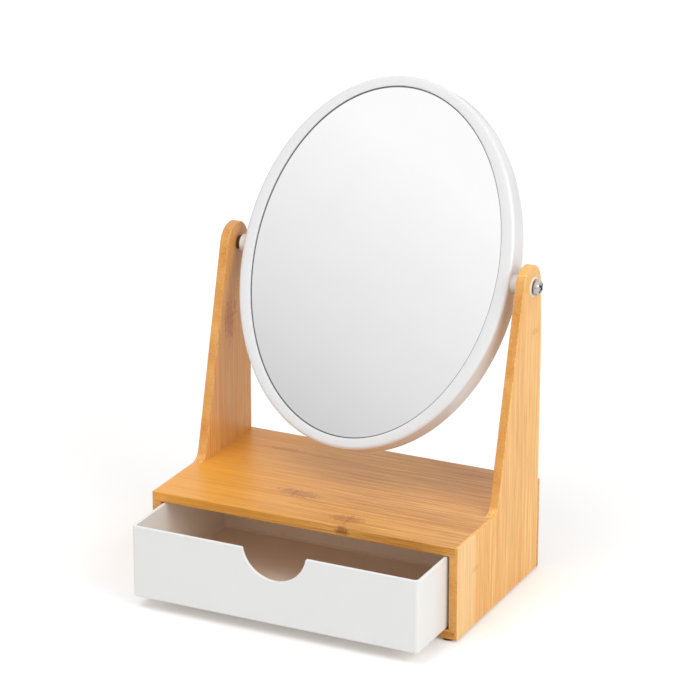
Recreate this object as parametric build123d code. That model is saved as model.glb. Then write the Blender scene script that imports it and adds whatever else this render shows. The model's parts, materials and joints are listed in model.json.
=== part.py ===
from build123d import *
from math import acos, atan2, cos, hypot, radians, sin
import os

os.makedirs("parts", exist_ok=True)

# All lengths are in millimetres. X runs to the right, Y to the back and Z up.
# The origin lies on the table top, under the middle of the box.

# Mirror glasses, which set the width and height of the head
glass_half_width = 90.1
glass_half_height = 120.0
glass_thickness = 2.0
glass_clearance = 0.3
glass_edge = 0.3
magnifier_radius = 1000.0
magnifier_gap = 0.55
foam_width = 7.0

# Mirror frame; its depths are counted from the pivot axis towards the viewer
mirror_tilt = 26.15
frame_side_wall = 6.0
frame_top_wall = 4.3
frame_front = 8.45
frame_parting = -9.0
frame_back = -12.0
frame_front_rounding = 2.5
frame_back_rounding = 2.7
rounding_bands = 3
lip_overlap = 2.65
lip_thickness = 1.3
lip_edge = 0.5
bezel_overlap = 3.2
bezel_plug_clearance = 0.2
bezel_flare = 2.6
bezel_edge = 0.5

# Bamboo box; its width follows from the head and its height is set here
post_gap = 7.2
swing_clearance = 14.4
box_height = 63.4
board = 6.4
side_depth = 129.5
back_board = 2.6
back_board_drop = 0.4
rabbet_depth = 4.1
eased_edge = 0.6
back_eased_edge = 0.4

# Posts, which grow out of the side panels
post_top_radius = 14.5
post_top_set_in = 2.2
post_lean_height = 165.0
post_foot_depth = 61.8
post_foot_fillet = 9.0
pivot_from_rear = 15.4

# Stick-on pads under the box
pad_diameter = 9.0
pad_height = 1.5
pad_from_side = 8.0
pad_from_front = 5.5
pad_from_back = 5.5

# Headless pins that hold the back panel to the two plates
pin_radius = 0.9
pin_length = 12.0
pin_clearance = 0.05
pin_spacing = 80.0
pins_per_plate = 3

# Drawer
drawer_wall = 2.05
drawer_side_clearance = 1.7
drawer_floor_clearance = 0.3
drawer_top_clearance = 0.6
drawer_back_clearance = 3.5
drawer_pulled_out = 42.0
drawer_corner = 2.6
drawer_bottom_edge = 1.4
drawer_rim_edge = 0.35
notch_radius = 22.8
notch_above_rim = 3.4
notch_aside = 0.95
notch_corner = 1.2

# Pivot hardware
boss_radius = 6.15
boss_edge = 0.9
boss_root = 3.0
inner_washer_thickness = 2.8
inner_washer_radius = 4.6
running_gap = 0.05
screw_radius = 2.5
screw_bite = 8.8
screw_tip = 0.6
screw_hole_clearance = 0.08
thread_clearance = 0.05
screw_head_radius = 5.5
screw_head_side = 0.9
screw_head_height = 3.5
screw_head_flat = 2.4
cross_length = 7.2
cross_width = 1.5
cross_depth = 2.2
spring_washer_thickness = 0.9
spring_washer_radius = 4.65
spring_washer_slot = 0.8
spring_washer_slope = 20.0
washer_thickness = 1.0
washer_radius = 6.65
washer_edge = 0.25
washer_hole_clearance = 0.1
insert_radius = 3.6
insert_length = 8.0
pilot_past_tip = 0.2

# Sizes of the head that follow from the glasses
pocket_half_width = glass_half_width + glass_clearance
pocket_half_height = glass_half_height + glass_clearance
frame_half_width = pocket_half_width + frame_side_wall
frame_half_height = pocket_half_height + frame_top_wall
glass_front = frame_front - lip_thickness
glass_back = glass_front - glass_thickness
magnifier_vertex = glass_back - magnifier_gap - glass_thickness
magnifier_centre = magnifier_vertex - magnifier_radius

# Places in the box and on the posts
panel_inner = frame_half_width + post_gap
half_width = panel_inner + board
plate_half = panel_inner + rabbet_depth
depth = side_depth + back_board
front_y = -depth / 2
rear_y = front_y + side_depth
outer_y = rear_y + back_board
box_bottom = pad_height
box_top = box_bottom + box_height
pivot_height = box_height + frame_half_height + swing_clearance
pivot_y = rear_y - pivot_from_rear
pivot_z = box_bottom + pivot_height

# Places of the drawer
drawer_half = panel_inner - drawer_side_clearance
drawer_front = front_y - drawer_pulled_out
drawer_back = drawer_front + side_depth - drawer_back_clearance
drawer_bottom = box_bottom + board + drawer_floor_clearance
drawer_rim = box_top - board - drawer_top_clearance

# Places along the pivot axis, from the screw head inwards
spring_from = half_width + washer_thickness + running_gap
under_head = spring_from + spring_washer_thickness
boss_end = panel_inner - inner_washer_thickness - running_gap
screw_end = boss_end - screw_bite


# Shared helpers

def along_x(radius, x_from, x_to):
    """A round bar on the X axis between two places."""
    bar = Cylinder(radius, abs(x_to - x_from))
    return Pos((x_from + x_to) / 2, 0, 0) * Rot(0, 90, 0) * bar


def turned(profile):
    """A round piece on the X axis, given by pairs of place and radius."""
    first = (profile[0][0], 0)
    last = (profile[-1][0], 0)
    outline = Polyline(first, *profile, last, close=True)
    return revolve(make_face(outline), Axis.X)


def block(x_from, x_to, y_from, y_to, z_from, z_to):
    """A square block given by its six faces."""
    middle = Pos((x_from + x_to) / 2, (y_from + y_to) / 2, (z_from + z_to) / 2)
    return middle * Box(abs(x_to - x_from), abs(y_to - y_from), abs(z_to - z_from))


def oval(semi_width, semi_height, depth_from, depth_to):
    """An upright oval plug; depths are counted towards the viewer."""
    outline = Plane.XZ.offset(depth_from) * Ellipse(semi_width, semi_height)
    return extrude(outline, amount=depth_to - depth_from)


def stepped_oval(semi_width, semi_height, steps):
    """An oval plug through pairs of inset and depth."""
    rings = []
    for inset, ring_depth in steps:
        rings.append(Plane.XZ.offset(ring_depth) * Ellipse(semi_width - inset, semi_height - inset))
    return loft(Sketch() + rings, ruled=True)


def rounded_oval(semi_width, semi_height, flat_end, round_end, rounding):
    """An oval plug with one end rounded in narrow bands."""
    towards = 1 if round_end > flat_end else -1
    start = round_end - towards * rounding
    steps = [(0, flat_end)]
    for band in range(rounding_bands + 1):
        turn = radians(90 * band / rounding_bands)
        steps.append((rounding * (1 - cos(turn)), start + towards * rounding * sin(turn)))
    return stepped_oval(semi_width, semi_height, steps)


def magnifier_ball(radius):
    """The ball whose skin is one face of the magnifying glass."""
    return Pos(0, -magnifier_centre, 0) * Sphere(radius)


def at_pivot(shape):
    """Move a shape from the origin to the pivot axis without tilting it."""
    return Pos(0, pivot_y, pivot_z) * shape


def tilted(shape):
    """Move a shape to the pivot axis and lean it back."""
    return Pos(0, pivot_y, pivot_z) * Rot(-mirror_tilt, 0, 0) * shape


def other_side(shape):
    """The same piece on the left-hand side."""
    return mirror(shape, about=Plane.YZ)


# Pins of the back panel, in a row along each plate

def pin_bars(radius, length):
    """One round bar per pin, from the outer face of the back panel inwards."""
    bars = []
    for z in (box_bottom + board / 2, box_top - board / 2):
        for place in range(pins_per_plate):
            x = (place - (pins_per_plate - 1) / 2) * pin_spacing
            bars.append(Pos(x, outer_y - length / 2, z) * Rot(90, 0, 0) * Cylinder(radius, length))
    return bars


def pin_holes():
    return pin_bars(pin_radius + pin_clearance, pin_length + pin_clearance)


# Side panel with its post

def side_outline():
    """Outline of the side panel, drawn in depth and height from its lower front corner."""
    centre = (side_depth - post_top_set_in - post_top_radius, pivot_height)
    foot = (post_foot_depth, box_height)
    lean = (side_depth, post_lean_height)
    front_touch = touching_point(centre, foot, -1)
    rear_touch = touching_point(centre, lean, 1)
    crown = (centre[0], centre[1] + post_top_radius)
    low_edge = Line((0, 0), (side_depth, 0))
    rear_edge = Line((side_depth, 0), lean)
    rear_lean = Line(lean, rear_touch)
    top_arc = ThreePointArc(rear_touch, crown, front_touch)
    front_edge = Line(front_touch, foot)
    panel_top = Line(foot, (0, box_height))
    panel_front = Line((0, box_height), (0, 0))
    outline = low_edge + rear_edge + rear_lean + top_arc + front_edge + panel_top + panel_front
    face = make_face(outline)
    foot_corner = face.vertices().sort_by_distance((foot[0], foot[1], 0))[0]
    return fillet(foot_corner, post_foot_fillet)


def touching_point(centre, start, turn):
    """Where a line from the start touches the round top of the post."""
    away = (start[0] - centre[0], start[1] - centre[1])
    angle = atan2(away[1], away[0]) + turn * acos(post_top_radius / hypot(*away))
    return (centre[0] + post_top_radius * cos(angle), centre[1] + post_top_radius * sin(angle))


def right_side_panel():
    lower_front = Plane(origin=(panel_inner, front_y, box_bottom), x_dir=(0, 1, 0), z_dir=(1, 0, 0))
    panel = extrude(lower_front * side_outline(), amount=board)
    by_side = panel.faces().sort_by(Axis.X)
    panel = chamfer(by_side[0].edges() + by_side[-1].edges(), eased_edge)
    past_front = front_y - board
    panel -= block(panel_inner, plate_half, past_front, rear_y, box_top - board, box_top)
    panel -= block(panel_inner, plate_half, past_front, rear_y, box_bottom, box_bottom + board)
    panel -= at_pivot(along_x(screw_radius + screw_hole_clearance, panel_inner, half_width))
    return panel


def left_side_panel():
    return other_side(right_side_panel())


# Top and bottom plate, let into the rabbets of the side panels

def plate(z_from):
    slab = block(-plate_half, plate_half, front_y, rear_y, z_from, z_from + board)
    front_face = slab.faces().sort_by(Axis.Y)[0]
    slab = fillet(front_face.edges().filter_by(Axis.X), eased_edge)
    return slab - pin_holes()


def top_plate():
    return plate(box_top - board)


def bottom_plate():
    return plate(box_bottom)


# Back panel and its pins

def back_panel():
    slab = block(-half_width, half_width, rear_y, outer_y, box_bottom, box_top - back_board_drop)
    outer_face = slab.faces().sort_by(Axis.Y)[-1]
    slab = chamfer(outer_face.edges(), back_eased_edge)
    return slab - pin_holes()


def back_panel_pins():
    return Compound(children=[bar.solid() for bar in pin_bars(pin_radius, pin_length)])


# Foot pads

def foot_pad(x_side, at_back):
    x = x_side * (half_width - pad_from_side)
    y = front_y + pad_from_front
    if at_back:
        y = outer_y - pad_from_back
    return Pos(x, y, pad_height / 2) * Cylinder(pad_diameter / 2, pad_height)


# Drawer with the finger notch

def notch_cutter():
    """Round notch whose two corners run out into the rim on small arcs."""
    reach = notch_radius + notch_corner
    centre_z = drawer_rim + notch_above_rim
    corner_z = drawer_rim - notch_corner
    corner_x = (reach ** 2 - (centre_z - corner_z) ** 2) ** 0.5
    meet_x = corner_x * notch_radius / reach
    meet_z = centre_z - (centre_z - corner_z) * notch_radius / reach
    bulge_x = corner_x - notch_corner * sin(radians(45))
    bulge_z = corner_z + notch_corner * cos(radians(45))
    above = drawer_rim + notch_corner
    bowl = ThreePointArc((-meet_x, meet_z), (0, centre_z - notch_radius), (meet_x, meet_z))
    right_lead = ThreePointArc((meet_x, meet_z), (bulge_x, bulge_z), (corner_x, drawer_rim))
    right_up = Line((corner_x, drawer_rim), (corner_x, above))
    over = Line((corner_x, above), (-corner_x, above))
    left_up = Line((-corner_x, above), (-corner_x, drawer_rim))
    left_lead = ThreePointArc((-corner_x, drawer_rim), (-bulge_x, bulge_z), (-meet_x, meet_z))
    outline = make_face(bowl + right_lead + right_up + over + left_up + left_lead)
    before_wall = Plane.XZ.offset(-drawer_front - drawer_wall * 2)
    return Pos(notch_aside, 0, 0) * extrude(before_wall * outline, amount=drawer_wall * 4)


def drawer_tray():
    outer = block(-drawer_half, drawer_half, drawer_front, drawer_back, drawer_bottom, drawer_rim)
    outer = fillet(outer.edges().filter_by(Axis.Z), drawer_corner)
    outer = fillet(outer.faces().sort_by(Axis.Z)[0].edges(), drawer_bottom_edge)
    inner_half = drawer_half - drawer_wall
    inner_front = drawer_front + drawer_wall
    inner_back = drawer_back - drawer_wall
    floor = drawer_bottom + drawer_wall
    inner = block(-inner_half, inner_half, inner_front, inner_back, floor, drawer_rim + drawer_wall)
    inner = fillet(inner.edges().filter_by(Axis.Z), drawer_corner - drawer_rim_edge)
    inner = chamfer(inner.faces().sort_by(Axis.Z)[0].edges(), drawer_bottom_edge)
    tray = outer - inner - notch_cutter()
    rim_edges = tray.faces().filter_by(Axis.Z).sort_by(Axis.Z)[-1].edges()
    return chamfer(rim_edges, drawer_rim_edge)


# Mirror frame with its two bosses

def mirror_frame():
    ring = rounded_oval(frame_half_width, frame_half_height, frame_parting, frame_front, frame_front_rounding)
    boss = turned([
        (frame_half_width - boss_root, boss_radius),
        (boss_end - boss_edge, boss_radius),
        (boss_end, boss_radius - boss_edge),
    ])
    frame = ring + boss + other_side(boss)
    frame -= oval(pocket_half_width, pocket_half_height, frame_parting, glass_front)
    lip_half_width = glass_half_width - lip_overlap
    lip_half_height = glass_half_height - lip_overlap
    lip_steps = [(0, glass_back), (0, frame_front - lip_edge), (-lip_edge, frame_front)]
    frame -= stepped_oval(lip_half_width, lip_half_height, lip_steps)
    pilot = along_x(screw_radius + screw_hole_clearance, screw_end - pilot_past_tip, boss_end)
    bores = pilot + along_x(insert_radius, boss_end - insert_length, boss_end)
    frame = frame - bores - other_side(bores)
    return tilted(frame)


# Glasses and the foam between them

def plain_mirror():
    glass = oval(glass_half_width, glass_half_height, glass_back, glass_front)
    return tilted(chamfer(glass.edges(), glass_edge))


def magnifying_mirror():
    plug = oval(glass_half_width, glass_half_height, frame_parting, glass_back)
    glass = (plug & magnifier_ball(magnifier_radius + glass_thickness)) - magnifier_ball(magnifier_radius)
    return tilted(glass)


def foam_spacer():
    ring = oval(glass_half_width, glass_half_height, frame_parting, glass_back)
    ring -= oval(glass_half_width - foam_width, glass_half_height - foam_width, frame_parting, glass_back)
    ring -= magnifier_ball(magnifier_radius + glass_thickness)
    return tilted(ring)


# Rear bezel, which plugs into the pocket of the frame behind the magnifying mirror

def rear_bezel():
    cap = rounded_oval(frame_half_width, frame_half_height, frame_parting, frame_back, frame_back_rounding)
    plug_width = pocket_half_width - bezel_plug_clearance
    plug_height = pocket_half_height - bezel_plug_clearance
    plug = oval(plug_width, plug_height, frame_parting, glass_back) & magnifier_ball(magnifier_radius)
    bezel = cap + plug
    opening_width = glass_half_width - bezel_overlap
    opening_height = glass_half_height - bezel_overlap
    flare_steps = [(0, glass_back), (-bezel_flare, frame_back + bezel_edge), (-bezel_flare - bezel_edge, frame_back)]
    bezel -= stepped_oval(opening_width, opening_height, flare_steps)
    return tilted(bezel)


# Pivot hardware on the right-hand side, from the screw head inwards

def right_pivot_screw():
    top = under_head + screw_head_height
    dome_height = screw_head_height - screw_head_side
    dome = [(under_head, screw_head_radius)]
    for band in range(rounding_bands + 1):
        turn = radians(90 * band / rounding_bands)
        dome_radius = screw_head_flat + (screw_head_radius - screw_head_flat) * cos(turn)
        dome.append((under_head + screw_head_side + dome_height * sin(turn), dome_radius))
    half_cross = cross_length / 2
    half_slot = cross_width / 2
    cross = block(top - cross_depth, top, -half_cross, half_cross, -half_slot, half_slot)
    cross += block(top - cross_depth, top, -half_slot, half_slot, -half_cross, half_cross)
    head = turned(dome) - Rot(45, 0, 0) * cross
    shank = turned([
        (screw_end, screw_radius - screw_tip),
        (screw_end + screw_tip, screw_radius),
        (under_head, screw_radius),
    ])
    return at_pivot(head + shank)


def washer_ring(radius, x_from, x_to):
    """A flat ring round the shank of the screw."""
    return along_x(radius, x_from, x_to) - along_x(screw_radius + washer_hole_clearance, x_from, x_to)


def right_spring_washer():
    ring = washer_ring(spring_washer_radius, spring_from, under_head)
    slot = Box(spring_washer_thickness * 3, spring_washer_slot, spring_washer_radius * 2)
    slot = Pos(spring_from, 0, -spring_washer_radius) * Rot(0, 0, spring_washer_slope) * slot
    return tilted(ring - slot)


def right_outer_washer():
    outside = half_width + washer_thickness
    ring = turned([
        (half_width, washer_radius),
        (outside - washer_edge, washer_radius),
        (outside, washer_radius - washer_edge),
    ])
    return at_pivot(ring - along_x(screw_radius + washer_hole_clearance, half_width, outside))


def right_inner_washer():
    return at_pivot(washer_ring(inner_washer_radius, panel_inner - inner_washer_thickness, panel_inner))


def right_thread_insert():
    sleeve = along_x(insert_radius, boss_end - insert_length, boss_end)
    sleeve -= along_x(screw_radius + thread_clearance, boss_end - insert_length, boss_end)
    return tilted(sleeve)


# Every node of the assembly

nodes = {
    "left_side_panel": left_side_panel(),
    "right_side_panel": right_side_panel(),
    "top_plate": top_plate(),
    "bottom_plate": bottom_plate(),
    "back_panel": back_panel(),
    "back_panel_pins": back_panel_pins(),
    "foot_pad_front_left": foot_pad(-1, False),
    "foot_pad_front_right": foot_pad(1, False),
    "foot_pad_rear_left": foot_pad(-1, True),
    "foot_pad_rear_right": foot_pad(1, True),
    "drawer_tray": drawer_tray(),
    "mirror_frame": mirror_frame(),
    "rear_bezel": rear_bezel(),
    "plain_mirror": plain_mirror(),
    "magnifying_mirror": magnifying_mirror(),
    "foam_spacer": foam_spacer(),
    "right_pivot_screw": right_pivot_screw(),
    "left_pivot_screw": other_side(right_pivot_screw()),
    "right_spring_washer": right_spring_washer(),
    "left_spring_washer": other_side(right_spring_washer()),
    "right_outer_washer": right_outer_washer(),
    "left_outer_washer": other_side(right_outer_washer()),
    "right_inner_washer": right_inner_washer(),
    "left_inner_washer": other_side(right_inner_washer()),
    "right_thread_insert": right_thread_insert(),
    "left_thread_insert": other_side(right_thread_insert()),
}

for name, shape in nodes.items():
    export_step(shape, f"parts/{name}.step")
    size = shape.bounding_box().size
    print(name, len(shape.solids()), round(size.X, 1), round(size.Y, 1), round(size.Z, 1))
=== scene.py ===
import bpy
import json
from math import cos, sin, pi, radians
from mathutils import Euler, Matrix, Vector


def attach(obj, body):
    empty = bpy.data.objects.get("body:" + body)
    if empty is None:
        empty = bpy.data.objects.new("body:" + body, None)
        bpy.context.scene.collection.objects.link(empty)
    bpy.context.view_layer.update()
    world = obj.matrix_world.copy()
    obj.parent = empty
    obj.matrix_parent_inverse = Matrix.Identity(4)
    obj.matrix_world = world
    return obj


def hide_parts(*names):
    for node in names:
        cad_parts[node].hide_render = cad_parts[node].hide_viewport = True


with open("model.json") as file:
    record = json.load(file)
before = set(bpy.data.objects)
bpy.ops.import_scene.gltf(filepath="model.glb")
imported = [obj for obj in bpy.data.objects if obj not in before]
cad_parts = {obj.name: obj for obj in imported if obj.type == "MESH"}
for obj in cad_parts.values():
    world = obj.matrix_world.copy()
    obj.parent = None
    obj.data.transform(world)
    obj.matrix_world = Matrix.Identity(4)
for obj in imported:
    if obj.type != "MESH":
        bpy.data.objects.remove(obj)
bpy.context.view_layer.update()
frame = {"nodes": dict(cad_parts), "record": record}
print("frame loaded")

camera = {  # fitted to the photograph: metres, degrees, and mm for the lens and sensor
    "place": (0.8610, -1.76965, 0.8756),
    "tip": 69.9915,
    "turn": 25.8842,
    "lens": 166.03,
    "sensor": 36.0,
    "clipEnd": 20.0,
}
lens = bpy.data.cameras.new("photoCamera")
lens.lens = camera["lens"]
lens.sensor_width = camera["sensor"]
lens.clip_end = camera["clipEnd"]
photoCamera = bpy.data.objects.new("photoCamera", lens)
bpy.context.scene.collection.objects.link(photoCamera)
turned = Euler((radians(camera["tip"]), 0, radians(camera["turn"])))
photoCamera.matrix_world = Matrix.Translation(camera["place"]) @ turned.to_matrix().to_4x4()
bpy.context.scene.camera = photoCamera
print("camera ready")


# node helpers

def paint(red, green, blue):
    out = []
    for value in (red, green, blue):
        v = value / 255
        out.append(v / 12.92 if v < 0.04045 else ((v + 0.055) / 1.055) ** 2.4)
    return (*out, 1.0)


class Tree:
    def __init__(self, name):
        self.mat = bpy.data.materials.new(name)
        self.mat.use_nodes = True
        self.nodes = self.mat.node_tree.nodes
        self.bsdf = self.nodes["Principled BSDF"]
        place = self.add("ShaderNodeTexCoord")
        self.normal = place.outputs["Normal"]
        self.mm = self.vec("SCALE", place.outputs["Object"], Scale=1000.0)  # object places in mm
        split = self.add("ShaderNodeSeparateXYZ", Vector=self.mm)
        self.x, self.y, self.z = split.outputs

    def add(self, kind, **sockets):
        node = self.nodes.new(kind)
        for key, value in sockets.items():
            self.feed(node.inputs[key.replace("_", " ")], value)
        return node

    def feed(self, socket, value):
        if isinstance(value, bpy.types.NodeSocket):
            self.mat.node_tree.links.new(value, socket)
        else:
            socket.default_value = value

    def vec(self, op, a, b=None, **named):
        node = self.nodes.new("ShaderNodeVectorMath")
        node.operation = op
        self.feed(node.inputs[0], a)
        if b is not None:
            self.feed(node.inputs[1], b)
        for key, value in named.items():
            self.feed(node.inputs[key], value)
        return node.outputs[0]

    def math(self, op, a, b=0.0, clamp=False):
        node = self.nodes.new("ShaderNodeMath")
        node.operation = op
        node.use_clamp = clamp
        for socket, value in zip(node.inputs, (a, b)):
            self.feed(socket, value)
        return node.outputs[0]

    def range(self, value, low, high, toLow=0.0, toHigh=1.0):
        node = self.add("ShaderNodeMapRange", Value=value)
        for key, number in zip(("From Min", "From Max", "To Min", "To Max"), (low, high, toLow, toHigh)):
            self.feed(node.inputs[key], number)
        return node.outputs["Result"]

    def noise(self, vector, scale, detail=3.0, rough=0.55):
        node = self.add("ShaderNodeTexNoise", Vector=vector, Scale=scale, Detail=detail, Roughness=rough)
        return node.outputs["Fac"]

    def point(self, x=0.0, y=0.0, z=0.0):
        return self.add("ShaderNodeCombineXYZ", X=x, Y=y, Z=z).outputs[0]

    def apart(self, value, place):
        return self.math("ABSOLUTE", self.math("SUBTRACT", value, place))

    def mix(self, factor, a, b):
        node = self.nodes.new("ShaderNodeMix")
        node.data_type = "RGBA"
        self.feed(node.inputs[0], factor)
        self.feed(node.inputs[6], a)
        self.feed(node.inputs[7], b)
        return node.outputs[2]

    def bump(self, height, strength, distance):
        node = self.add("ShaderNodeBump", Height=height, Strength=strength, Distance=distance)
        self.feed(self.bsdf.inputs["Normal"], node.outputs["Normal"])

    def set(self, **sockets):
        for key, value in sockets.items():
            self.feed(self.bsdf.inputs[key.replace("_", " ")], value)
        return self.mat


# bamboo: fibres run along one axis, strips lie side by side across it

bamboo = {  # strips and wander in mm, bump depth in metres
    "stripWidth": 18.0,
    "fibre": 1.1,
    "wander": 3.0,
    "stripContrast": 0.16,
    "seamDark": 0.3,
    "rough": 0.38,
    "coat": 0.12,
    "coatRough": 0.22,
    "bump": 0.18,
    "bumpDepth": 0.00012,
}


def bambooMaterial(name, along, across, shades, marks, tones, endAxis):
    t = Tree(name)
    light, dark, deep = (paint(*shade) for shade in shades)
    axes = {"x": t.x, "y": t.y, "z": t.z}
    run, lane = axes[along], axes[across]
    third = [v for k, v in axes.items() if k not in (along, across)][0]
    slowPlace = t.point(t.math("MULTIPLY", run, 0.006), t.math("MULTIPLY", lane, 0.03))
    wander = t.math("MULTIPLY", t.noise(slowPlace, 1.0, 2.0), bamboo["wander"])
    laneBent = t.math("ADD", lane, wander)
    strip = t.math("FLOOR", t.math("DIVIDE", lane, bamboo["stripWidth"]))
    tone = t.add("ShaderNodeTexWhiteNoise", Vector=t.point(strip, 3.7)).outputs["Value"]
    shift = t.math("MULTIPLY", tone, 400.0)  # every strip shows another stretch of grain
    longRun = t.math("ADD", run, shift)

    def streaks(alongScale, acrossScale, detail=3.0):
        stretched = t.point(
            t.math("MULTIPLY", longRun, alongScale),
            t.math("MULTIPLY", laneBent, acrossScale),
            t.math("MULTIPLY", third, acrossScale),
        )
        return t.noise(stretched, 1.0, detail)

    fine = streaks(0.02, bamboo["fibre"] * 1.4)
    broad = streaks(0.008, 0.42)
    flecks = streaks(0.035, bamboo["fibre"] * 2.6, 4.0)
    colour = t.mix(t.range(fine, 0.38, 0.62), light, dark)
    colour = t.mix(t.range(broad, 0.42, 0.68, 0.0, 0.55), colour, t.mix(0.3, dark, deep))
    colour = t.mix(t.range(flecks, 0.52, 0.68, 0.0, 0.6), colour, deep)
    colour = t.mix(t.math("MULTIPLY", tone, bamboo["stripContrast"]), colour, deep)
    seam = t.apart(t.math("FRACT", t.math("DIVIDE", lane, bamboo["stripWidth"])), 0.5)  # 0.5 at a glue line
    colour = t.mix(t.range(seam, 0.485, 0.5, 0.0, bamboo["seamDark"]), colour, deep)
    for tint in tones:
        colour = t.mix(tint["factor"](t), colour, tint["colour"])
    # ragged rims for the dark marks
    rag = t.math("MULTIPLY", t.math("SUBTRACT", t.noise(t.mm, 0.5, 4.0), 0.5), 3.4)
    rag = t.math("ADD", rag, t.math("MULTIPLY", t.math("SUBTRACT", fine, 0.5), 2.4))
    for m in marks:
        parts = []
        for axis, middle, half in zip((t.x, t.y, t.z), m["at"], m["half"]):
            parts.append(t.math("POWER", t.math("DIVIDE", t.apart(axis, middle), half), 2.0))
        far = t.math("ADD", t.math("ADD", parts[0], parts[1]), parts[2])
        inside = t.range(t.math("ADD", far, rag), 1.15, 0.25, 0.0, m["dark"])
        grainy = t.math("MULTIPLY", inside, t.range(flecks, 0.4, 0.58, 0.45, 1.2), clamp=True)
        colour = t.mix(grainy, colour, deep)
    # cut ends show the fibres as dots
    facing = t.add("ShaderNodeSeparateXYZ", Vector=t.normal).outputs["XYZ".index(endAxis.upper())]
    onEnd = t.range(t.math("ABSOLUTE", facing), 0.75, 0.9)
    cells = t.vec("MULTIPLY", t.mm, (1.0, 0.5, 0.45))
    dots = t.add("ShaderNodeTexVoronoi", Vector=cells, Scale=1.5).outputs["Distance"]
    cut = t.mix(t.range(dots, 0.1, 0.5), t.mix(0.12, deep, dark), t.mix(0.42, dark, deep))
    cut = t.mix(t.range(t.noise(t.mm, 0.05), 0.35, 0.7, 0.0, 0.35), cut, light)
    colour = t.mix(onEnd, colour, cut)
    t.bump(t.math("ADD", fine, flecks), bamboo["bump"], bamboo["bumpDepth"])
    rough = t.range(broad, 0.3, 0.8, bamboo["rough"] - 0.06, bamboo["rough"] + 0.12)
    t.set(Coat_Weight=bamboo["coat"], Coat_Roughness=bamboo["coatRough"])
    return t.set(Base_Color=colour, Roughness=rough)


def leftGlow(t):  # the plate is more orange towards its left end
    return t.math("MULTIPLY", t.range(t.x, 20.0, -110.0), 0.75)


def paintedInnerShade(t):  # painted shade: the inner face of the left board is darker and redder, most of all higher up
    onLeft = t.range(t.x, -103.0, -103.5)
    return t.math("MULTIPLY", onLeft, t.range(t.z, 215.0, 60.0, 0.5, 0.15))


def frontStrip(t):  # the foremost strip of the right board is paler outside
    outside = t.range(t.x, 109.0, 109.5)
    return t.math("MULTIPLY", outside, t.range(t.y, -39.0, -40.5, 0.0, 0.4))


# dark marks of the bamboo, in mm: middle, half size and how dark
plateMarks = [
    {"at": (-22.0, -27.5, 65.0), "half": (17.0, 5.5, 30.0), "dark": 0.55},
    {"at": (26.0, -53.0, 65.0), "half": (12.0, 6.0, 4.0), "dark": 0.6},
    {"at": (28.5, -66.0, 62.0), "half": (5.0, 3.0, 3.6), "dark": 0.8},
    {"at": (-24.0, -28.0, 65.0), "half": (1.3, 6.5, 30.0), "dark": 0.5},
    {"at": (27.0, -53.0, 65.0), "half": (1.4, 7.5, 4.0), "dark": 0.6},
    {"at": (78.0, 5.0, 65.0), "half": (18.0, 3.2, 4.0), "dark": 0.3},
    {"at": (-64.0, 38.0, 65.0), "half": (17.0, 3.0, 30.0), "dark": 0.35},
]
sideMarks = [
    {"at": (-103.6, 33.0, 154.0), "half": (1.5, 6.5, 17.0), "dark": 0.8},
    {"at": (-103.6, 34.0, 156.0), "half": (1.5, 11.0, 1.6), "dark": 0.6},
    {"at": (-103.6, 41.0, 161.5), "half": (1.5, 2.2, 4.5), "dark": 0.6},
    {"at": (110.0, 52.0, 172.0), "half": (1.5, 5.0, 2.6), "dark": 0.3},
    {"at": (110.0, -38.0, 41.0), "half": (1.5, 7.0, 2.4), "dark": 0.28},
    {"at": (-110.0, 30.0, 60.0), "half": (1.5, 8.0, 2.6), "dark": 0.45},
]
backMarks = [
    {"at": (40.0, 66.0, 24.0), "half": (17.0, 3.0, 2.8), "dark": 0.45},
    {"at": (-70.0, 66.0, 46.0), "half": (15.0, 3.0, 2.6), "dark": 0.4},
]
boards = {  # light, middle and deep shade of each kind of board, 0 to 255
    "side": ((255, 210, 132), (243, 176, 84), (184, 106, 32)),
    "plate": ((238, 180, 90), (206, 134, 46), (140, 72, 18)),
    "back": ((240, 190, 116), (222, 156, 80), (160, 94, 36)),
    # painted shade for the inner face of the left board
    "paintedInnerShade": (178, 104, 44),
    "frontStrip": (246, 214, 162),
    "leftGlow": (243, 166, 52),
}
sideTones = [
    {"factor": paintedInnerShade, "colour": paint(*boards["paintedInnerShade"])},
    {"factor": frontStrip, "colour": paint(*boards["frontStrip"])},
]
plateTones = [{"factor": leftGlow, "colour": paint(*boards["leftGlow"])}]
sideWood = bambooMaterial("bambooSide", "z", "y", boards["side"], sideMarks, sideTones, "y")
plateWood = bambooMaterial("bambooPlate", "x", "y", boards["plate"], plateMarks, plateTones, "x")
backWood = bambooMaterial("bambooBack", "x", "z", boards["back"], backMarks, [], "z")
print("bamboo ready")


# sizes of the mirror head in mm; ovals are half width and half height

head = {
    "tilt": 26.15,
    "pivotY": 48.05,
    "pivotZ": 203.9,
    "outer": (96.4, 124.6),
    "pocket": (90.4, 120.3),
    "lip": (87.45, 117.35),
    "plug": (90.2, 120.1),
    "opening": (86.9, 116.8),
    "segments": 224,
    "sharpAngle": 32.0,
    "bossSegments": 64,
    "bossRadius": 6.15,
    "bossEnd": 100.75,
    "bossEdge": 0.9,
    "edgeSteps": 5,
    "insertRadius": 3.6,
    "insertLength": 8.0,
    "magnifierRadius": 1000.0,
    "magnifierVertex": 2.6,
    "magnifierGap": 0.05,
    "lipScale": 100.0,
}


# plastics, metals and small parts

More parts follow.
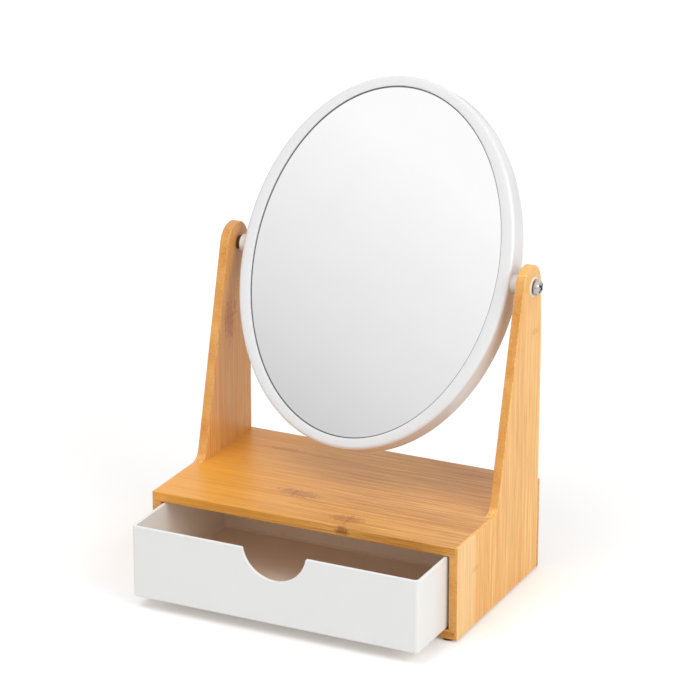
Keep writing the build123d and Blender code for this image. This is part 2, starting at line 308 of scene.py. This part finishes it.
def lipDistance(t):  # about how many mm a point lies outside the lip's oval, seen along the head's axis
    lean = radians(head["tilt"])
    back = t.math("MULTIPLY", t.math("SUBTRACT", t.y, head["pivotY"]), sin(lean))
    rise = t.math("MULTIPLY", t.math("SUBTRACT", t.z, head["pivotZ"]), cos(lean))
    halfWidth, halfHeight = head["lip"]
    wide = t.math("POWER", t.math("DIVIDE", t.math("ABSOLUTE", t.x), halfWidth), 2.0)
    tall = t.math("POWER", t.math("DIVIDE", t.math("ABSOLUTE", t.math("ADD", back, rise)), halfHeight), 2.0)
    ratio = t.math("SQRT", t.math("ADD", wide, tall))
    return t.math("MULTIPLY", t.math("SUBTRACT", ratio, 1.0), head["lipScale"])  # about its mean radius


tray = {  # inside of the drawer in mm, where the painted bounce light goes
    "side": 100.2,
    "front": -106.3,
    "rim": 56.0,
    "floor": 14.0,
    "soft": 0.5,
}


def paintedBounceInside(t, body):  # painted bounce light: the drawer's inside takes the warm tone that the wood round it casts, most near the floor
    between = t.range(t.math("ABSOLUTE", t.x), tray["side"], tray["side"] - tray["soft"])
    inside = t.math("MULTIPLY", between, t.range(t.y, tray["front"], tray["front"] + tray["soft"]))
    low = t.range(t.z, tray["rim"], tray["floor"], 0.15, 1.0)
    return t.mix(t.math("MULTIPLY", inside, low), body, paint(250, 236, 220))


def paintedLipShadow(t, body):  # painted shadow: a grey line where the lip meets the glass
    return t.mix(t.range(lipDistance(t), 0.22, 0.05, 0.0, 0.8), body, paint(124, 126, 130))


def evenTone(t, body):  # no tint of its own
    return body


plastics = {
    "drawerPlastic": {
        "colour": (234, 234, 232),
        "shade": (230, 230, 227),
        "rough": 0.36,
        "coat": 0.15,
        "grain": 1.6,
        "bump": 0.12,
        "milky": 0.0,
        "tint": paintedBounceInside,
    },
    "framePlastic": {
        "colour": (227, 227, 228),
        "shade": (223, 223, 224),
        "rough": 0.2,
        "coat": 0.3,
        "grain": 0.9,
        "bump": 0.03,
        "milky": 0.0,
        "tint": paintedLipShadow,
    },
    "washerPlastic": {
        "colour": (240, 236, 228),
        "shade": (228, 224, 214),
        "rough": 0.3,
        "coat": 0.2,
        "grain": 1.2,
        "bump": 0.05,
        "milky": 0.25,
        "tint": evenTone,
    },
}


def plasticMaterial(name):
    t = Tree(name)
    look = plastics[name]
    cloud = t.noise(t.mm, 0.02, 2.0)
    specks = t.noise(t.mm, look["grain"], 3.0)
    body = t.mix(t.range(cloud, 0.3, 0.7, 0.0, 0.35), paint(*look["colour"]), paint(*look["shade"]))
    body = t.mix(t.range(specks, 0.66, 0.8, 0.0, 0.12), body, paint(180, 176, 168))
    body = look["tint"](t, body)
    t.bump(specks, look["bump"], 0.00006)
    rough = t.range(cloud, 0.3, 0.7, look["rough"] - 0.03, look["rough"] + 0.06)
    t.set(Coat_Weight=look["coat"], Coat_Roughness=0.08, IOR=1.48)
    t.set(Subsurface_Weight=look["milky"], Subsurface_Radius=(0.001, 0.001, 0.001))
    return t.set(Base_Color=body, Roughness=rough)


def metalMaterial(name, colour, rough, scratch):
    t = Tree(name)
    lines = t.noise(t.vec("MULTIPLY", t.mm, (0.4, 2.6, 2.6)), 1.0, 4.0)
    t.bump(lines, 0.15, 0.00004)
    tone = t.mix(t.range(lines, 0.4, 0.75, 0.0, scratch), colour, paint(90, 84, 76))
    return t.set(Base_Color=tone, Metallic=1.0, Roughness=t.range(lines, 0.3, 0.8, rough, rough + 0.15))


def softMaterial(name, colour, shade, scale, depth):
    t = Tree(name)
    fuzz = t.noise(t.mm, scale, 5.0, 0.7)
    t.bump(fuzz, 0.5, depth)
    body = t.mix(t.range(fuzz, 0.35, 0.65), colour, shade)
    return t.set(Base_Color=body, Roughness=0.85, Specular_IOR_Level=0.25)


glass = {  # colours from 0 to 255, rim start and end in mm from the lip's oval; the rim is a painted shadow
    "bright": (252, 252, 252),
    "hazy": (249, 249, 249),
    "rim": (104, 106, 110),
    "rimShadowStart": -0.85,
    "rimShadowEnd": -0.45,
}


def mirrorMaterial(name):
    t = Tree(name)
    haze = t.noise(t.mm, 0.035, 3.0)
    dust = t.noise(t.mm, 1.3, 2.0)
    tone = t.mix(t.range(haze, 0.35, 0.7, 0.0, 0.4), paint(*glass["bright"]), paint(*glass["hazy"]))
    rough = t.math("ADD", t.range(haze, 0.4, 0.75, 0.0, 0.012), t.range(dust, 0.72, 0.8, 0.0, 0.03))
    edge = t.range(lipDistance(t), glass["rimShadowStart"], glass["rimShadowEnd"])  # painted shadow: a darker rim just inside the lip, for the shaded gap under the lip and its reflection
    tone = t.mix(edge, tone, paint(*glass["rim"]))
    silver = t.math("SUBTRACT", 1.0, t.math("MULTIPLY", edge, 0.6))
    return t.set(Base_Color=tone, Metallic=silver, Roughness=rough)


looks = {
    "bamboo_side": sideWood,
    "bamboo_plate": plateWood,
    "bamboo_back": backWood,
    "pin_steel": metalMaterial("pinSteel", paint(176, 174, 170), 0.32, 0.4),
    "pad_felt": softMaterial("padFelt", paint(120, 88, 60), paint(84, 58, 38), 2.2, 0.0003),
    "drawer_plastic": plasticMaterial("drawerPlastic"),
    "frame_plastic": plasticMaterial("framePlastic"),
    "mirror_glass": mirrorMaterial("mirrorGlass"),
    "foam": softMaterial("foamPad", paint(214, 212, 206), paint(190, 188, 182), 1.4, 0.0002),
    "screw_steel": metalMaterial("screwSteel", paint(206, 205, 203), 0.14, 0.35),
    "spring_steel": metalMaterial("springSteel", paint(70, 68, 66), 0.3, 0.3),
    "washer_plastic": plasticMaterial("washerPlastic"),
    # a real rubber washer, coloured a shadowed brown: painted shade for the dark gap between the boss and
    # the post
    "washer_rubber": softMaterial("washerRubberShadowBrown", paint(92, 70, 52), paint(70, 52, 38), 1.8, 0.0001),
    "insert_brass": metalMaterial("insertBrass", paint(206, 168, 88), 0.26, 0.3),
}
for item in frame["record"]["subparts"]:
    node = frame["nodes"][item["node"]]
    node.data.materials.clear()
    node.data.materials.append(looks[item["material_slot"]])
print("materials ready")


# mirror head: the frame ring and the rear bezel as smooth sweeps round an oval

pivot = Vector((0, head["pivotY"], head["pivotZ"])) / 1000
place = Matrix.Translation(pivot) @ Matrix.Rotation(radians(-head["tilt"]), 4, "X")


# a profile point is a base oval, the mm outside it and the mm in front of the pivot
def arcPoints(base, centreOffset, centreDepth, radius, start, end, steps):
    out = []
    for i in range(steps + 1):
        a = radians(start + (end - start) * i / steps)
        out.append((base, centreOffset + radius * cos(a), centreDepth + radius * sin(a)))
    return out


def sweepOval(profile, verts, faces):
    first = len(verts)
    count = len(profile)
    for i in range(head["segments"]):
        a = 2 * pi * i / head["segments"]
        for base, offset, depth in profile:
            semiX, semiZ = head[base]
            verts.append(Vector(((semiX + offset) * cos(a), -depth, (semiZ + offset) * sin(a))) / 1000)
    for i in range(head["segments"]):
        here = first + i * count
        there = first + (i + 1) % head["segments"] * count
        for k in range(count):
            m = (k + 1) % count
            faces.append((here + k, here + m, there + m, there + k))


def turnAlongX(profile, side, verts, faces):
    first = len(verts)
    count = len(profile)
    segments = head["bossSegments"]
    for i in range(segments):
        a = 2 * pi * i / segments
        for along, radius in profile:
            verts.append(Vector((side * along, radius * cos(a), radius * sin(a))) / 1000)
    for i in range(segments):
        here = first + i * count
        there = first + (i + 1) % segments * count
        for k in range(count - 1):
            quad = (here + k, here + k + 1, there + k + 1, there + k)
            faces.append(quad if side > 0 else quad[::-1])


def makePiece(name, verts, faces, material, body):
    mesh = bpy.data.meshes.new(name)
    mesh.from_pydata([place @ v for v in verts], [], faces)
    mesh.validate()
    mesh.update()
    piece = bpy.data.objects.new(name, mesh)
    bpy.context.scene.collection.objects.link(piece)
    mesh.materials.append(material)
    bpy.context.view_layer.objects.active = piece
    piece.select_set(True)
    bpy.ops.object.mode_set(mode="EDIT")
    bpy.ops.mesh.select_all(action="SELECT")
    bpy.ops.mesh.normals_make_consistent(inside=False)
    bpy.ops.object.mode_set(mode="OBJECT")
    mesh.shade_smooth()
    mesh.set_sharp_from_angle(angle=radians(head["sharpAngle"]))
    piece.select_set(False)
    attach(piece, body)
    return piece


ringProfile = [("pocket", 0, -8.9), ("pocket", 0, 7.15), ("lip", 0, 7.15), ("lip", 0, 7.95)]
ringProfile += arcPoints("lip", 0.55, 7.95, 0.55, 180, 90, 4)
ringProfile += [("outer", -4.6, 8.5)]
ringProfile += arcPoints("outer", -2.5, 5.95, 2.5, 90, 0, 9)
ringProfile += [("outer", 0, -8.6), ("outer", -0.35, -8.95)]
verts, faces = [], []
sweepOval(ringProfile, verts, faces)
radius, end, edge = head["bossRadius"], head["bossEnd"], head["bossEdge"]
bossProfile = [(93.4, radius + 1.2), (95.7, radius + 0.9), (96.6, radius + 0.35), (97.5, radius)]
for step in range(head["edgeSteps"] + 1):
    turn = radians(90 * step / head["edgeSteps"])
    bossProfile.append((end - edge + edge * sin(turn), radius - edge + edge * cos(turn)))
bossProfile += [(end, head["insertRadius"]), (end - head["insertLength"], head["insertRadius"])]
for side in (1, -1):
    turnAlongX(bossProfile, side, verts, faces)
ring = makePiece("frameRing", verts, faces, looks["frame_plastic"], "mirror_head")
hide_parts("mirror_frame")

bezelProfile = [("outer", -0.35, -9.05), ("outer", 0, -9.35)]
bezelProfile += arcPoints("outer", -2.7, -9.35, 2.65, 0, -90, 9)
bezelProfile += arcPoints("opening", 3.1, -11.5, 0.5, 270, 180, 4)
bezelProfile += [("opening", 0.8, -1.2), ("plug", 0, -1.2), ("plug", 0, -9.05)]
verts, faces = [], []
sweepOval(bezelProfile, verts, faces)
# the plug's front end follows the curved back of the magnifying glass
magnifier = head["magnifierRadius"]
for v in verts:
    sag = magnifier - (magnifier ** 2 - (v.x * 1000) ** 2 - (v.z * 1000) ** 2) ** 0.5
    if v.y * 1000 < 2.0:  # only the front end lies this near the pivot
        v.y = -(head["magnifierVertex"] - sag - head["magnifierGap"]) / 1000
bezel = makePiece("rearBezel", verts, faces, looks["frame_plastic"], "mirror_head")
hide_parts("rear_bezel")
print("mirror head ready")


# light and ground

studio = {  # lamp powers in watts, places and sizes in metres
    "ambient": 0.66,
    "aim": (0, 0, 0.12),
    "key": {"power": 33.0, "place": (2.3, -0.7, 1.7), "size": 1.8, "inMirror": True},
    "top": {"power": 16.0, "place": (-0.5, -0.9, 2.3), "size": 1.3, "inMirror": False},
    "brightSide": (0.421, 0.284, 0.861),
    "skyEdge": 0.06,
    "skyDark": (0.47, 0.47, 0.472, 1),
    "skyMiddle": (0.785, 0.783, 0.783, 1),
    "skyBright": (1.0, 1.0, 1.0, 1),
}
for name in ("key", "top"):
    lamp = bpy.data.lights.new(name, "AREA")
    lamp.energy = studio[name]["power"]
    lamp.size = studio[name]["size"]
    lampObject = bpy.data.objects.new(name, lamp)
    lampObject.location = studio[name]["place"]
    sight = Vector(studio["aim"]) - lampObject.location
    lampObject.rotation_euler = sight.to_track_quat("-Z", "Y").to_euler()
    lampObject.visible_glossy = studio[name]["inMirror"]
    bpy.context.scene.collection.objects.link(lampObject)

world = bpy.data.worlds.new("studio")
bpy.context.scene.world = world
world.use_nodes = True
nodes, links = world.node_tree.nodes, world.node_tree.links
base = nodes["Background"]
base.inputs["Color"].default_value = (1, 1, 1, 1)
base.inputs["Strength"].default_value = studio["ambient"]
aim = nodes.new("ShaderNodeTexCoord")
dot = nodes.new("ShaderNodeVectorMath")
dot.operation = "DOT_PRODUCT"
dot.inputs[1].default_value = studio["brightSide"]  # where the mirror sees the brightest sky
links.new(aim.outputs["Generated"], dot.inputs[0])
spread = nodes.new("ShaderNodeValToRGB")
grade = nodes.new("ShaderNodeMapRange")
links.new(dot.outputs["Value"], grade.inputs["Value"])
for key, number in (("From Min", -studio["skyEdge"]), ("From Max", studio["skyEdge"])):
    grade.inputs[key].default_value = number
links.new(grade.outputs["Result"], spread.inputs["Fac"])
spread.color_ramp.elements[0].color = studio["skyDark"]
spread.color_ramp.elements[1].color = studio["skyBright"]
middle = spread.color_ramp.elements.new(0.5)
middle.color = studio["skyMiddle"]
seen = nodes.new("ShaderNodeBackground")
links.new(spread.outputs["Color"], seen.inputs["Color"])
white = nodes.new("ShaderNodeBackground")
path = nodes.new("ShaderNodeLightPath")
glossy = nodes.new("ShaderNodeMixShader")
final = nodes.new("ShaderNodeMixShader")
links.new(path.outputs["Is Glossy Ray"], glossy.inputs[0])
links.new(base.outputs[0], glossy.inputs[1])
links.new(seen.outputs[0], glossy.inputs[2])
links.new(path.outputs["Is Camera Ray"], final.inputs[0])
links.new(glossy.outputs[0], final.inputs[1])
links.new(white.outputs[0], final.inputs[2])
links.new(final.outputs[0], nodes["World Output"].inputs["Surface"])
white.inputs["Color"].default_value = (1, 1, 1, 1)

ground = {  # half width in metres, near and far in mm from the middle
    "half": 6,
    "near": 450.0,
    "far": 1300.0,
    "nearLift": 0.22,
    "farLift": 0.7,
}
corners = [(x * ground["half"], y * ground["half"], 0) for x, y in ((-1, -1), (1, -1), (1, 1), (-1, 1))]
floorMesh = bpy.data.meshes.new("floor")
floorMesh.from_pydata(corners, [], [(0, 1, 2, 3)])
floor = bpy.data.objects.new("floor", floorMesh)
bpy.context.scene.collection.objects.link(floor)
pale = Tree("floorWhite")
reach = pale.add("ShaderNodeVectorMath", Vector=pale.mm)
reach.operation = "LENGTH"
lift = pale.range(
    reach.outputs["Value"], ground["near"], ground["far"], ground["nearLift"], ground["farLift"]
)
glow = pale.math("MULTIPLY", pale.add("ShaderNodeLightPath").outputs["Is Camera Ray"], lift)
pale.set(Base_Color=paint(238, 238, 238), Roughness=0.9, Specular_IOR_Level=0.1)
pale.set(Emission_Color=(1, 1, 1, 1), Emission_Strength=glow)
floorMesh.materials.append(pale.mat)
bpy.context.scene.view_settings.view_transform = "Standard"

print("scene ready")
